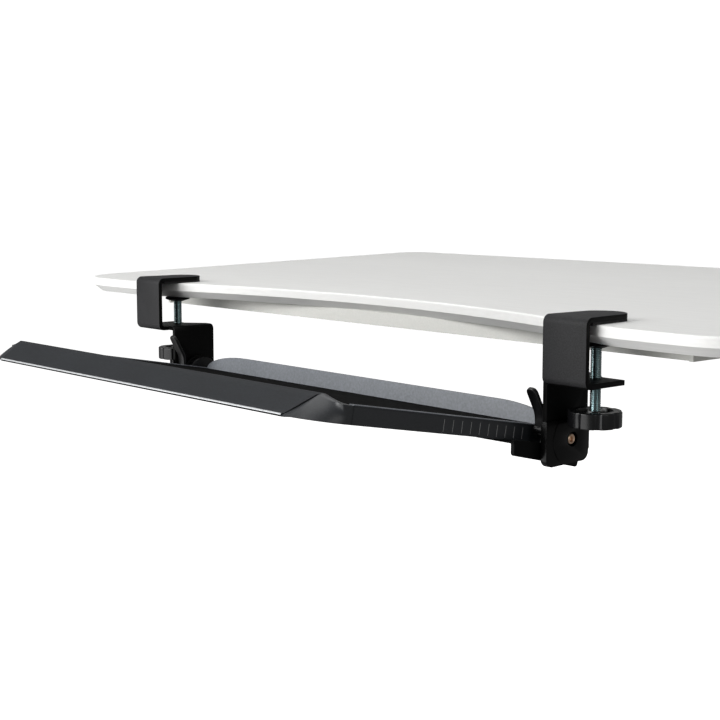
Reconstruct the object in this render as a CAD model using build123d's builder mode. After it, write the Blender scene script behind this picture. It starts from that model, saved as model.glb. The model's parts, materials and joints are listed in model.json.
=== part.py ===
from build123d import *
import os

# Computer desk worktop on a low steel under-frame, with a clamp-on keyboard tray.
# Millimetres, +Z up, X along the front edge, Y from the user's side to the back.
# The origin is the middle of the four leg holes, on the underside of the leg plates.

os.makedirs("parts", exist_ok=True)

# ---------------------------------------------------------------- driving sizes
# Worktop
panel_t = 17.0
panel_depth = 742.0
panel_front_w = 969.0
panel_back_w = 1332.0
front_corner_r = 75.0
back_corner_r = 30.0
bow_shoulder = 135.5
bow_depth = 66.0
bow_blend_r = 160.0
edge_face_h = 9.0
bevel_in = 10.0
top_edge_r = 2.0

# Under-frame of angle bar
side_overhang = 98.0
front_overhang = 69.0
rear_overhang = 45.0
bar_t = 4.0
bar_h = 14.0
bar_flange = 25.0
bar_flange_t = 3.0
rail_recess = 4.0
leg_plate_side = 110.0
leg_plate_cut = 44.0
leg_plate_t = 4.0
leg_inset_x = 66.5
leg_inset_y = 64.0
leg_thread_r = 4.0
leg_nut_af = 13.0
leg_nut_h = 6.5

# Wood screws that hold the frame to the worktop
wood_screw_r = 1.8
wood_screw_head_r = 4.2
wood_screw_head_h = 2.2
wood_screw_bite = 10.0
wood_screw_inset = 15.0
wood_screw_end = 108.0
wood_screws_per_bar = 4

# Clamps: a bent strap whose lower flange turns down into a side leaf
clamp_outboard = 29.8
strap_w = 47.0
strap_t = 4.6
bend_r = 7.0
bend_run = 0.6
clamp_gap = 3.0
liner_t = 2.0
throat = 50.5
jaw_reach = 50.0
jaw_bow = 13.5
jaw_taper = 3.0
jaw_corner_r = 4.0
flange_reach = 46.0
leaf_front = 9.0
leaf_w = 54.0
leaf_corner_r = 6.0
leaf_tail = 18.0
wing_blend = 4.0
leaf_bend_r = 5.6
pivot_back = 39.5
pivot_drop = 51.6

# Clamp screws
screw_r = 4.95
screw_back = 36.6
pad_r = 14.0
pad_rim_h = 2.0
pad_h = 4.5
pad_neck_r = 6.5
pad_rubber_t = 1.0
pad_rubber_inset = 1.0
pad_socket_depth = 3.0
screw_tip_r = 3.4
screw_end_gap = 0.2
screw_chamfer = 0.6
knob_r = 23.0
knob_h = 13.8
knob_drop = 22.8
knob_lobes = 8
knob_scallop_r = 6.0
knob_scallop_depth = 1.5
knob_edge_r = 1.2
knob_recess = 3.0
knob_rim = 7.5
knob_hub_r = 8.3

# Tilt pivots
bolt_r = 4.0
washer_t = 1.0
washer_r = 11.0
ear_t = 4.0
ear_r = 22.0
hub_side_gap = 1.5
hub_t = 6.5
hub_r = 20.0
bolt_head = 1.4
bolt_inset = 0.8
bolt_edge_r = 1.0
cover_t = 2.5
cover_wall = 2.5
cover_lap = 0.6
cover_rise = 1.5
boss_r = 24.0
cover_drop = 4.0
cover_boss_t = 0.8
cover_setback = 1.5
cover_corner_r = 8.0
bolt_well_r = 6.5
tilt = 10.5

# Lever on each tilt bolt: points (back, up) from the pivot
lever_t = 4.0
lever_inner_r = 2.0
lever_root = (-25.3, 8.8)
lever_knee = (-25.3, 22.7)
lever_tip = (-37.5, 45.3)
lever_barrel_r = 4.0
lever_leaf_gap = 0.8

# Keyboard tray, measured from the pivots along its own slope
tray_w = 530.8
tray_front = 276.3
tray_tail = 14.0
tray_corner_r = 37.0
tray_rear_r = 12.0
skirt_h = 15.2
wall_t = 3.0
rib_t = 2.0
rib_h = 6.0
cross_rib_s = (40, 105, 170)
long_rib_x = (-130, 0, 130)
long_rib_len = 200.0

# Palm rest along the tray's front
palm_lip = 0.8
palm_rise = 6.0
palm_slope = 26.1
palm_crest = 4.0
palm_depth = 40.3
palm_crest_inset = 23.4
palm_corner_gap = 0.4
palm_wall = 2.5
palm_boss_r = 4.0

# Rear guard
guard_h = 17.6
guard_t = 3.0
guard_inset = 3.4
guard_end_w = 70.0
guard_foot = 4.0
guard_foot_h = 6.0

# Sliding rails under the tray and the arms that carry it
rail_w = 20.0
rail_h = 10.5
rail_wall = 1.5
rail_inset = 4.0
rail_from = 16.0
rail_to = 232.0
slot_w = 9.0
shoe_from = 27.0
shoe_to = 86.0
arm_front = 64.0
arm_rear = 22.0
arm_depth = 15.0
arm_taper = 5.0
arm_shoulder = 3.3
arm_flange_t = 1.6
arm_tip_t = 0.4
arm_rake = 2.4
arm_corner_r = 3.0

# Small screws in the tray
tray_screw_r = 1.5
tray_screw_head_r = 3.2
tray_screw_head_h = 0.9
tray_screw_tip_gap = 0.2
deck_skin = 0.6
palm_screw_x = (-180, -60, 60, 180)
guard_screw_x = (-150, 0, 150)
rail_screw_end = 12.0
palm_screw_bite = 6.0
guard_screw_bite = 4.0

# Clearances
run_gap = 0.05
slide_gap = 0.3
part_gap = 0.4
hole_gap = 0.05
screw_hole_gap = 0.3
tray_hole_gap = 0.2
shoe_foot = 4.0

# ---------------------------------------------------------------- worked-out places
frame_w = panel_front_w - 2 * side_overhang
frame_d = panel_depth - front_overhang - rear_overhang
leg_hole_x = frame_w - 2 * leg_inset_x
leg_hole_y = frame_d - 2 * leg_inset_y
bow_half = panel_front_w / 2 - bow_shoulder
top_z = bar_h + panel_t
panel_front_y = -frame_d / 2 - front_overhang
panel_back_y = panel_front_y + panel_depth
clamp_y = panel_front_y - clamp_gap
jaw_z = top_z + liner_t
flange_z = jaw_z - throat
skirt_x = tray_w / 2
hub_x = skirt_x + hub_side_gap
ear_x = hub_x + hub_t + washer_t
leaf_inner_x = ear_x + ear_t + washer_t
leaf_x = leaf_inner_x + strap_t
clamp_x = leaf_x + clamp_outboard
pivot_y = clamp_y + pivot_back
pivot_z = flange_z - strap_t - pivot_drop
screw_y = clamp_y + screw_back
pad_top_z = bar_h
knob_top_z = flange_z - strap_t - knob_drop
deck_n = skirt_h / 2
arm_flange_top = deck_n + part_gap
arm_top = arm_flange_top + arm_flange_t
rail_mid_x = skirt_x - wall_t - rail_inset - rail_w / 2
rail_top_n = deck_n - wall_t

# Planes of the sloping tray: one along its deck (x, back, up) and one along its
# side (back, up), both through the pivots.
back_dir = Vector(0, 1, 0).rotate(Axis.X, -tilt)
up_dir = Vector(0, 0, 1).rotate(Axis.X, -tilt)
deck_plane = Plane(origin=(0, pivot_y, pivot_z), x_dir=(1, 0, 0), z_dir=up_dir)


def side_plane(x):
    """The tray's side plane at one X, with (back, up) as its own axes."""
    return Plane(origin=(x, pivot_y, pivot_z), x_dir=back_dir, z_dir=(1, 0, 0))


def save(piece, name):
    """Labels one piece and writes its STEP file."""
    piece.label = name
    export_step(piece, f"parts/{name}.step")


def save_pair(piece, name):
    """Writes the right-hand piece and its mirror image on the left."""
    save(piece, f"{name}_right")
    save(mirror(piece, about=Plane.YZ), f"{name}_left")


# ---------------------------------------------------------------- worktop
frame_screw_spots = []
for number in range(wood_screws_per_bar):
    along = number / (wood_screws_per_bar - 1) - 0.5
    for end in (-1, 1):
        cross_y = end * (frame_d / 2 - rail_recess - wood_screw_inset)
        side_x = end * (frame_w / 2 - wood_screw_inset)
        frame_screw_spots.append((along * (frame_w - 2 * wood_screw_end), cross_y))
        frame_screw_spots.append((side_x, along * (frame_d - 2 * wood_screw_end)))

with BuildPart() as desktop_panel:
    with BuildSketch(Plane.XY.offset(bar_h)) as outline:
        with BuildLine():
            Polyline(
                (bow_half, panel_front_y),
                (panel_front_w / 2, panel_front_y),
                (panel_back_w / 2, panel_back_y),
                (-panel_back_w / 2, panel_back_y),
                (-panel_front_w / 2, panel_front_y),
                (-bow_half, panel_front_y),
            )
            ThreePointArc(
                (-bow_half, panel_front_y), (0, panel_front_y + bow_depth), (bow_half, panel_front_y)
            )
        make_face()
        fillet(outline.vertices().group_by(Axis.Y)[-1], radius=back_corner_r)
        front_row = outline.vertices().group_by(Axis.Y)[0].sort_by(Axis.X)
        fillet([front_row[0], front_row[-1]], radius=front_corner_r)
        bow_ends = outline.vertices().filter_by_position(Axis.X, -bow_half - 1, bow_half + 1)
        fillet(bow_ends, radius=bow_blend_r)
    extrude(amount=panel_t)
    under_face = desktop_panel.faces().sort_by(Axis.Z)[0]
    chamfer(under_face.edges(), length=bevel_in, length2=panel_t - edge_face_h, reference=under_face)
    fillet(desktop_panel.faces().sort_by(Axis.Z)[-1].edges(), radius=top_edge_r)
    with Locations([(x, y, bar_h) for x, y in frame_screw_spots]):
        Cylinder(
            wood_screw_r + hole_gap,
            wood_screw_bite + 1,
            align=(Align.CENTER, Align.CENTER, Align.MIN),
            mode=Mode.SUBTRACT,
        )
save(desktop_panel.part, "desktop_panel")

# ---------------------------------------------------------------- under-frame
side_rail_x = frame_w / 2
cross_rail_y = frame_d / 2 - rail_recess
screw_hole_r = wood_screw_r + screw_hole_gap

with BuildPart() as side_rail:
    with BuildSketch(Plane.XZ.offset(-frame_d / 2)):
        with BuildLine():
            Polyline(
                (side_rail_x, 0),
                (side_rail_x, bar_h),
                (side_rail_x - bar_flange, bar_h),
                (side_rail_x - bar_flange, bar_h - bar_flange_t),
                (side_rail_x - bar_t, bar_h - bar_flange_t),
                (side_rail_x - bar_t, 0),
                close=True,
            )
        make_face()
    extrude(amount=frame_d)
    # The flange is notched at both ends, where the cross rails' flanges lie.
    with BuildSketch(Plane.XY.offset(bar_h - bar_flange_t)):
        for end in (-1, 1):
            with Locations((side_rail_x - bar_t - bar_flange / 2, end * (frame_d / 2 - bar_flange / 2))):
                Rectangle(bar_flange, bar_flange + 2 * rail_recess)
    extrude(amount=bar_flange_t, mode=Mode.SUBTRACT)
    rail_holes = [(x, y, bar_h - bar_flange_t) for x, y in frame_screw_spots if x > side_rail_x - bar_flange]
    with Locations(rail_holes):
        Cylinder(screw_hole_r, 3 * bar_flange_t, mode=Mode.SUBTRACT)
save_pair(side_rail.part, "frame_side_rail")

for rail_name, facing in (("frame_front_rail", -1), ("frame_rear_rail", 1)):
    outer_y = facing * cross_rail_y
    rail_half = side_rail_x - bar_t
    with BuildPart() as cross_rail:
        with BuildSketch(Plane.YZ.offset(-rail_half)):
            with BuildLine():
                Polyline(
                    (outer_y, 0),
                    (outer_y, bar_h),
                    (outer_y - facing * bar_flange, bar_h),
                    (outer_y - facing * bar_flange, bar_h - bar_flange_t),
                    (outer_y - facing * bar_t, bar_h - bar_flange_t),
                    (outer_y - facing * bar_t, 0),
                    close=True,
                )
            make_face()
        extrude(amount=2 * rail_half)
        cross_holes = [
            (x, y, bar_h - bar_flange_t)
            for x, y in frame_screw_spots
            if abs(y - outer_y) < bar_flange
        ]
        with Locations(cross_holes):
            Cylinder(screw_hole_r, 3 * bar_flange_t, mode=Mode.SUBTRACT)
    save(cross_rail.part, rail_name)

plate_x = side_rail_x - bar_t
plate_y = cross_rail_y - bar_t
for plate_name, hand, end in (
    ("leg_plate_front_left", -1, -1),
    ("leg_plate_front_right", 1, -1),
    ("leg_plate_rear_left", -1, 1),
    ("leg_plate_rear_right", 1, 1),
):
    with BuildPart() as leg_plate:
        with BuildSketch(Plane.XY):
            with BuildLine():
                Polyline(
                    (hand * plate_x, end * plate_y),
                    (hand * (plate_x - leg_plate_side), end * plate_y),
                    (hand * (plate_x - leg_plate_side), end * (plate_y - leg_plate_side + leg_plate_cut)),
                    (hand * (plate_x - leg_plate_side + leg_plate_cut), end * (plate_y - leg_plate_side)),
                    (hand * plate_x, end * (plate_y - leg_plate_side)),
                    close=True,
                )
            make_face()
            with Locations((hand * leg_hole_x / 2, end * leg_hole_y / 2)):
                Circle(leg_thread_r, mode=Mode.SUBTRACT)
        extrude(amount=leg_plate_t)
    save(leg_plate.part, plate_name)

with BuildPart() as leg_nuts:
    with BuildSketch(Plane.XY.offset(leg_plate_t)):
        with GridLocations(leg_hole_x, leg_hole_y, 2, 2):
            RegularPolygon(leg_nut_af / 2, 6, major_radius=False)
            Circle(leg_thread_r, mode=Mode.SUBTRACT)
    extrude(amount=leg_nut_h)
save(leg_nuts.part, "leg_nuts")

with BuildPart() as frame_screws:
    with Locations([(x, y, bar_h - bar_flange_t) for x, y in frame_screw_spots]):
        Cylinder(
            wood_screw_head_r, wood_screw_head_h, align=(Align.CENTER, Align.CENTER, Align.MAX)
        )
        Cylinder(
            wood_screw_r, bar_flange_t + wood_screw_bite, align=(Align.CENTER, Align.CENTER, Align.MIN)
        )
    chamfer(frame_screws.edges().group_by(Axis.Z)[0], length=1.0)
save(frame_screws.part, "frame_screws")

# ---------------------------------------------------------------- clamps
web_bottom = flange_z - strap_t
web_top = jaw_z + strap_t
jaw_start_y = clamp_y + bend_r - strap_t + bend_run
strap_half = strap_w / 2


def jaw_plan():
    """Draws the jaw's plan, from the top bend back to its narrowed and bowed free edge."""
    tip_half = strap_half - jaw_taper
    Polyline(
        (clamp_x - tip_half, clamp_y + jaw_reach),
        (clamp_x - strap_half, jaw_start_y),
        (clamp_x + strap_half, jaw_start_y),
        (clamp_x + tip_half, clamp_y + jaw_reach),
    )
    ThreePointArc(
        (clamp_x + tip_half, clamp_y + jaw_reach),
        (clamp_x, clamp_y + jaw_reach + jaw_bow),
        (clamp_x - tip_half, clamp_y + jaw_reach),
    )


with BuildPart() as clamp_body:
    with BuildSketch(Plane.YZ.offset(clamp_x - strap_half)) as strap:
        with BuildLine():
            Polyline(
                (clamp_y - strap_t, web_bottom),
                (clamp_y - strap_t, web_top),
                (jaw_start_y, web_top),
                (jaw_start_y, jaw_z),
                (clamp_y, jaw_z),
                (clamp_y, flange_z),
                (clamp_y + flange_reach, flange_z),
                (clamp_y + flange_reach, web_bottom),
                close=True,
            )
        make_face()
        fillet(strap.vertices().group_by(Axis.X)[0], radius=bend_r)
        lower_inner = strap.vertices().filter_by_position(Axis.X, clamp_y - 0.1, clamp_y + 0.1)
        fillet(lower_inner, radius=bend_r - strap_t)
    extrude(amount=strap_w)
    with BuildSketch(Plane.XY.offset(jaw_z)) as jaw:
        with BuildLine():
            jaw_plan()
        make_face()
        fillet(jaw.vertices().group_by(Axis.Y)[-1], radius=jaw_corner_r)
    extrude(amount=strap_t)
    # Lower flange's wing, which turns down into the leaf.
    leaf_front_y = clamp_y + leaf_front
    leaf_rear_y = leaf_front_y + leaf_w
    with BuildSketch(Plane.XY.offset(web_bottom)):
        with BuildLine():
            Polyline(
                (leaf_inner_x, leaf_front_y),
                (clamp_x, leaf_front_y),
                (clamp_x, clamp_y + flange_reach),
                (clamp_x - strap_half + wing_blend, leaf_rear_y),
                (leaf_inner_x, leaf_rear_y),
                close=True,
            )
        make_face()
    extrude(amount=strap_t)
    with BuildSketch(Plane.YZ.offset(leaf_inner_x)) as leaf:
        with BuildLine():
            Polyline(
                (leaf_front_y, flange_z),
                (leaf_rear_y, flange_z),
                (leaf_rear_y, pivot_z - leaf_tail),
                (leaf_front_y, pivot_z - leaf_tail),
                close=True,
            )
        make_face()
        fillet(leaf.vertices().group_by(Axis.Y)[0], radius=leaf_corner_r)
        with Locations((pivot_y, pivot_z)):
            Circle(bolt_r, mode=Mode.SUBTRACT)
    extrude(amount=strap_t)
    bend_edge = (
        clamp_body.edges()
        .filter_by(Axis.Y)
        .filter_by_position(Axis.X, leaf_inner_x - 0.1, leaf_inner_x + 0.1)
        .group_by(Axis.Z)[-1]
    )
    fillet(bend_edge, radius=leaf_bend_r)
    with Locations((clamp_x, screw_y, flange_z - strap_t)):
        Cylinder(screw_r + run_gap, 4 * strap_t, mode=Mode.SUBTRACT)
save_pair(clamp_body.part, "clamp_body")

with BuildPart() as clamp_liner:
    with BuildSketch(Plane.XY.offset(top_z)) as liner_plan:
        with BuildLine():
            jaw_plan()
        make_face()
        fillet(liner_plan.vertices().group_by(Axis.Y)[-1], radius=jaw_corner_r)
    extrude(amount=liner_t)
save_pair(clamp_liner.part, "clamp_liner")

pad_face = pad_top_z - pad_rubber_t
pad_under = pad_face - pad_h
knob_floor = knob_top_z - knob_h + knob_recess

with BuildPart() as clamp_screw:
    with BuildSketch(Plane.XY.offset(knob_floor)):
        with Locations((clamp_x, screw_y)):
            Circle(screw_r)
    extrude(amount=pad_under - knob_floor)
    with BuildSketch(Plane.XY.offset(pad_under)):
        with Locations((clamp_x, screw_y)):
            Circle(screw_tip_r)
    extrude(amount=pad_socket_depth - screw_end_gap)
    chamfer(clamp_screw.edges().group_by(Axis.Z)[-1], length=screw_chamfer)
save_pair(clamp_screw.part, "clamp_screw")

with BuildPart() as clamp_pad:
    with BuildSketch(Plane.XZ.offset(-screw_y)):
        with BuildLine():
            Polyline(
                (clamp_x, pad_under + pad_socket_depth),
                (clamp_x + screw_tip_r + run_gap, pad_under + pad_socket_depth),
                (clamp_x + screw_tip_r + run_gap, pad_under),
                (clamp_x + pad_neck_r, pad_under),
                (clamp_x + pad_r, pad_face - pad_rim_h),
                (clamp_x + pad_r, pad_face),
                (clamp_x, pad_face),
                close=True,
            )
        make_face()
    revolve(axis=Axis((clamp_x, screw_y, 0), (0, 0, 1)))
save_pair(clamp_pad.part, "clamp_pad")

with BuildPart() as pad_rubber:
    with BuildSketch(Plane.XY.offset(pad_face)):
        with Locations((clamp_x, screw_y)):
            Circle(pad_r - pad_rubber_inset)
    extrude(amount=pad_rubber_t)
save_pair(pad_rubber.part, "pad_rubber")

with BuildPart() as clamp_knob:
    with BuildSketch(Plane.XY.offset(knob_top_z - knob_h)):
        with Locations((clamp_x, screw_y)):
            Circle(knob_r)
            with PolarLocations(knob_r + knob_scallop_r - knob_scallop_depth, knob_lobes):
                Circle(knob_scallop_r, mode=Mode.SUBTRACT)
    extrude(amount=knob_h)
    fillet(clamp_knob.edges().group_by(Axis.Z)[-1], radius=knob_edge_r)
    fillet(clamp_knob.edges().group_by(Axis.Z)[0], radius=knob_edge_r)
    with BuildSketch(Plane.XY.offset(knob_top_z - knob_recess)):
        with Locations((clamp_x, screw_y)):
            Circle(knob_r - knob_rim)
            Circle(knob_hub_r, mode=Mode.SUBTRACT)
    extrude(amount=knob_recess, mode=Mode.SUBTRACT)
    with BuildSketch(Plane.XY.offset(knob_floor)):
        with Locations((clamp_x, screw_y)):
            Circle(screw_r + run_gap)
    extrude(amount=knob_h, mode=Mode.SUBTRACT)
save_pair(clamp_knob.part, "clamp_knob")

# ---------------------------------------------------------------- tilt pivots
cover_front_y = leaf_front_y - cover_wall
cover_rear_y = leaf_rear_y - cover_setback
cover_bottom = pivot_z - leaf_tail - cover_drop
cover_top = pivot_z + leaf_tail
cover_inner_x = leaf_inner_x + cover_lap
cover_outer_x = leaf_x + cover_t

with BuildPart() as pivot_cover:
    with BuildSketch(Plane.YZ.offset(cover_inner_x)) as cover_outline:
        with BuildLine():
            Polyline(
                (cover_front_y, cover_top),
                (cover_rear_y, cover_top),
                (cover_rear_y, cover_bottom + cover_rise),
                (cover_front_y, cover_bottom),
                close=True,
            )
        make_face()
        lower_corners = cover_outline.vertices().filter_by_position(Axis.Y, cover_bottom, cover_bottom + 2)
        fillet(lower_corners, radius=cover_corner_r)
    extrude(amount=cover_outer_x - cover_inner_x)
    # Pocket that takes the leaf's lower end, open at the top and the rear.
    with BuildSketch(Plane.YZ.offset(leaf_inner_x)):
        pocket_front_y = leaf_front_y - hole_gap
        pocket_bottom = pivot_z - leaf_tail - hole_gap
        with Locations((pocket_front_y, pocket_bottom)):
            Rectangle(2 * leaf_w, 2 * leaf_tail + cover_drop, align=(Align.MIN, Align.MIN))
    extrude(amount=strap_t, mode=Mode.SUBTRACT)
    # Raised round boss with the bolt's well in its middle.
    with BuildSketch(Plane.YZ.offset(cover_outer_x)):
        with Locations((pivot_y, pivot_z)):
            Circle(boss_r)
        with Locations((cover_rear_y, pivot_z)):
            Rectangle(
                3 * boss_r, 2 * leaf_tail, align=(Align.MAX, Align.CENTER), mode=Mode.INTERSECT
            )
    extrude(amount=cover_boss_t)
    with Locations(Plane((leaf_x, pivot_y, pivot_z), z_dir=(1, 0, 0))):
        Cylinder(bolt_well_r, 4 * cover_t, mode=Mode.SUBTRACT)
save_pair(pivot_cover.part, "pivot_cover")

bolt_from = hub_x + bolt_inset
with BuildPart() as pivot_bolt:
    with BuildSketch(Plane.YZ.offset(bolt_from)):
        with Locations((pivot_y, pivot_z)):
            Circle(bolt_r)
    extrude(amount=leaf_x - bolt_from)
    with BuildSketch(Plane.YZ.offset(leaf_x)):
        with Locations((pivot_y, pivot_z)):
            Circle(bolt_r + bolt_head)
    extrude(amount=cover_t)
    fillet(pivot_bolt.edges().group_by(Axis.X)[-1], radius=bolt_edge_r)
save_pair(pivot_bolt.part, "pivot_bolt")

with BuildPart() as friction_washers:
    for washer_x in (leaf_inner_x - washer_t, ear_x - washer_t):
        with BuildSketch(Plane.YZ.offset(washer_x)):
            with Locations((pivot_y, pivot_z)):
                Circle(washer_r)
                Circle(bolt_r + hole_gap, mode=Mode.SUBTRACT)
        extrude(amount=washer_t)
save_pair(friction_washers.part, "friction_washers")

# Lever: a round hub, a bent blade that rises in front of the leaf, and a barrel at the bend.
with BuildPart() as lever:
    with BuildSketch(Plane.YZ.offset(hub_x)) as lever_side:
        with BuildLine(mode=Mode.PRIVATE) as lever_line:
            FilletPolyline(
                (pivot_y, pivot_z),
                (pivot_y + lever_root[0], pivot_z + lever_root[1]),
                (pivot_y + lever_knee[0], pivot_z + lever_knee[1]),
                (pivot_y + lever_tip[0], pivot_z + lever_tip[1]),
                radius=lever_t / 2 + lever_inner_r,
            )
        SlotArc(lever_line.wire(), lever_t)
        with Locations((pivot_y + lever_root[0], pivot_z + lever_root[1])):
            Circle(lever_barrel_r)
    extrude(amount=leaf_inner_x - lever_leaf_gap - hub_x)
    # The blade is wide only in front of the arm's ear.
    with BuildSketch(Plane.YZ.offset(hub_x + hub_t)):
        with Locations((pivot_y, pivot_z)):
            Circle(ear_r + part_gap)
    extrude(amount=strap_t + ear_t + washer_t, mode=Mode.SUBTRACT)
    with BuildSketch(Plane.YZ.offset(hub_x)):
        with Locations((pivot_y, pivot_z)):
            Circle(hub_r)
    extrude(amount=hub_t)
    with BuildSketch(Plane.YZ.offset(hub_x)):
        with Locations((pivot_y, pivot_z)):
            Circle(bolt_r + run_gap)
    extrude(amount=hub_t, mode=Mode.SUBTRACT)
save_pair(lever.part, "lever")

# ---------------------------------------------------------------- arms and slide shoes
rail_low_n = rail_top_n - rail_h
flange_inner_x = rail_mid_x - rail_w / 2
arm_bottom = arm_top + arm_depth

with BuildPart() as arm:
    with BuildSketch(side_plane(ear_x)) as ear:
        with BuildLine():
            Polyline(
                (-arm_front, -arm_top + arm_shoulder),
                (-arm_front + arm_rake, -arm_bottom + arm_taper),
                (arm_rear, -arm_bottom),
                (arm_rear, 0),
                (-arm_rear, 0),
                (-arm_rear, -arm_top + arm_shoulder),
                close=True,
            )
        make_face()
        fillet(ear.vertices().group_by(Axis.Y)[0], radius=arm_corner_r)
        front_low = ear.vertices().filter_by_position(Axis.X, -arm_front + arm_rake - 1, -arm_front + arm_rake + 1)
        fillet(front_low, radius=arm_corner_r)
        Circle(ear_r)
        Circle(bolt_r + run_gap, mode=Mode.SUBTRACT)
    extrude(amount=ear_t)
    # Flange that turns in under the skirt and runs forward beneath the slide shoe.
    with BuildSketch(side_plane(flange_inner_x)):
        with BuildLine():
            Polyline(
                (-shoe_from, -arm_top),
                (-arm_front, -arm_top),
                (-shoe_to, -arm_flange_top - arm_tip_t),
                (-shoe_to, -arm_flange_top),
                (-shoe_from, -arm_flange_top),
                close=True,
            )
        make_face()
    extrude(amount=skirt_x - flange_inner_x)
    with BuildSketch(side_plane(skirt_x)):
        with Locations((-arm_front, -arm_top)):
            Rectangle(arm_front - shoe_from, arm_flange_t, align=(Align.MIN, Align.MIN))
    extrude(amount=ear_x + ear_t - skirt_x)
save_pair(arm.part, "arm")

with BuildPart() as slide_shoe:
    with BuildSketch(side_plane(rail_mid_x - slot_w / 2 + slide_gap)):
        with Locations((-shoe_to, -arm_flange_top)):
            Rectangle(shoe_to - shoe_from, rail_low_n + shoe_foot + arm_flange_top, align=(Align.MIN, Align.MIN))
    extrude(amount=slot_w - 2 * slide_gap)
    with BuildSketch(side_plane(rail_mid_x - rail_w / 2 + rail_wall + slide_gap)):
        with Locations((-shoe_to, rail_low_n + rail_wall + slide_gap)):
            Rectangle(
                shoe_to - shoe_from,
                rail_h - 2 * rail_wall - 2 * slide_gap,
                align=(Align.MIN, Align.MIN),
            )
    extrude(amount=rail_w - 2 * rail_wall - 2 * slide_gap)
save_pair(slide_shoe.part, "slide_shoe")

# ---------------------------------------------------------------- tray
palm_back = tray_front - palm_depth
ridge_s = tray_front - palm_slope
palm_floor_n = -deck_n + wall_t
palm_half_front = skirt_x - tray_corner_r - palm_corner_gap
palm_half_crest = skirt_x - palm_crest_inset
guard_half = skirt_x - guard_inset
guard_flat_half = guard_half - guard_end_w
crest_n = deck_n + palm_rise
palm_roof_n = crest_n - palm_wall - 1

# Corner points of the palm rest in plan.
palm_outline = [
    (palm_half_front, -tray_front),
    (palm_half_crest, -ridge_s),
    (palm_half_crest, -palm_back),
    (-palm_half_crest, -palm_back),
    (-palm_half_crest, -ridge_s),
    (-palm_half_front, -tray_front),
]

palm_screw_spots = [(x, palm_crest - ridge_s) for x in palm_screw_x]
guard_screw_spots = [(x, guard_t + guard_foot / 2) for x in guard_screw_x]
rail_screw_spots = [
    (hand * rail_mid_x, -s)
    for hand in (-1, 1)
    for s in (rail_from + rail_screw_end, (rail_from + rail_to) / 2, rail_to - rail_screw_end)
]

with BuildPart() as tray_panel:
    with BuildSketch(deck_plane.offset(-deck_n)) as tray_outline:
        with Locations((0, (tray_tail - tray_front) / 2)):
            Rectangle(tray_w, tray_front + tray_tail)
        tray_corners = tray_outline.vertices().group_by(Axis.Y)
        fillet(tray_corners[0], radius=tray_corner_r)
        fillet(tray_corners[-1], radius=tray_rear_r)
    extrude(amount=skirt_h)
    with BuildSketch(deck_plane.offset(-deck_n)) as tray_hollow:
        with Locations((0, (tray_tail - tray_front) / 2)):
            Rectangle(tray_w - 2 * wall_t, tray_front + tray_tail - 2 * wall_t)
        hollow_corners = tray_hollow.vertices().group_by(Axis.Y)
        fillet(hollow_corners[0], radius=tray_corner_r - wall_t)
        fillet(hollow_corners[-1], radius=tray_rear_r - wall_t)
    extrude(amount=skirt_h - wall_t, mode=Mode.SUBTRACT)
    # The front is cut away for the palm rest, and a floor is left to carry it.
    with BuildSketch(deck_plane.offset(-deck_n)):
        with BuildLine():
            Polyline(*palm_outline, close=True)
        make_face()
        with Locations((0, -tray_front)):
            Rectangle(2 * palm_half_front, 2, align=(Align.CENTER, Align.CENTER))
    extrude(amount=skirt_h, mode=Mode.SUBTRACT)
    floor_back = palm_back - wall_t
    with BuildSketch(deck_plane.offset(-deck_n)):
        with BuildLine():
            Polyline(
                (palm_half_front - 4, -tray_front + palm_wall + 3),
                (palm_half_crest, -ridge_s),
                (palm_half_crest + wall_t, -ridge_s),
                (palm_half_crest + wall_t, -floor_back),
                (-palm_half_crest - wall_t, -floor_back),
                (-palm_half_crest - wall_t, -ridge_s),
                (-palm_half_crest, -ridge_s),
                (-palm_half_front + 4, -tray_front + palm_wall + 3),
                close=True,
            )
        make_face()
    extrude(amount=wall_t)
    with BuildSketch(deck_plane.offset(-deck_n)):
        with Locations((0, -palm_back)):
            Rectangle(2 * palm_half_crest, wall_t, align=(Align.CENTER, Align.MIN))
    extrude(amount=skirt_h)
    # Stiffening ribs under the deck.
    with BuildSketch(deck_plane.offset(deck_n - wall_t - rib_h)):
        rib_half = rail_mid_x - rail_w / 2 - rib_t
        for rib_s in cross_rib_s:
            with Locations((0, -rib_s)):
                Rectangle(2 * rib_half, rib_t)
        for rib_x in long_rib_x:
            with Locations((rib_x, -cross_rib_s[1])):
                Rectangle(rib_t, long_rib_len)
    extrude(amount=rib_h)
    with BuildSketch(deck_plane.offset(-deck_n)):
        with Locations(palm_screw_spots):
            Circle(tray_screw_r + tray_hole_gap)
    extrude(amount=wall_t, mode=Mode.SUBTRACT)
    with BuildSketch(deck_plane.offset(deck_n - wall_t)):
        with Locations(guard_screw_spots):
            Circle(tray_screw_r + tray_hole_gap)
    extrude(amount=wall_t, mode=Mode.SUBTRACT)
    with BuildSketch(deck_plane.offset(deck_n - wall_t)):
        with Locations(rail_screw_spots):
            Circle(tray_screw_r + hole_gap)
    extrude(amount=wall_t - deck_skin, mode=Mode.SUBTRACT)
save(tray_panel.part, "tray_panel")

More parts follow.
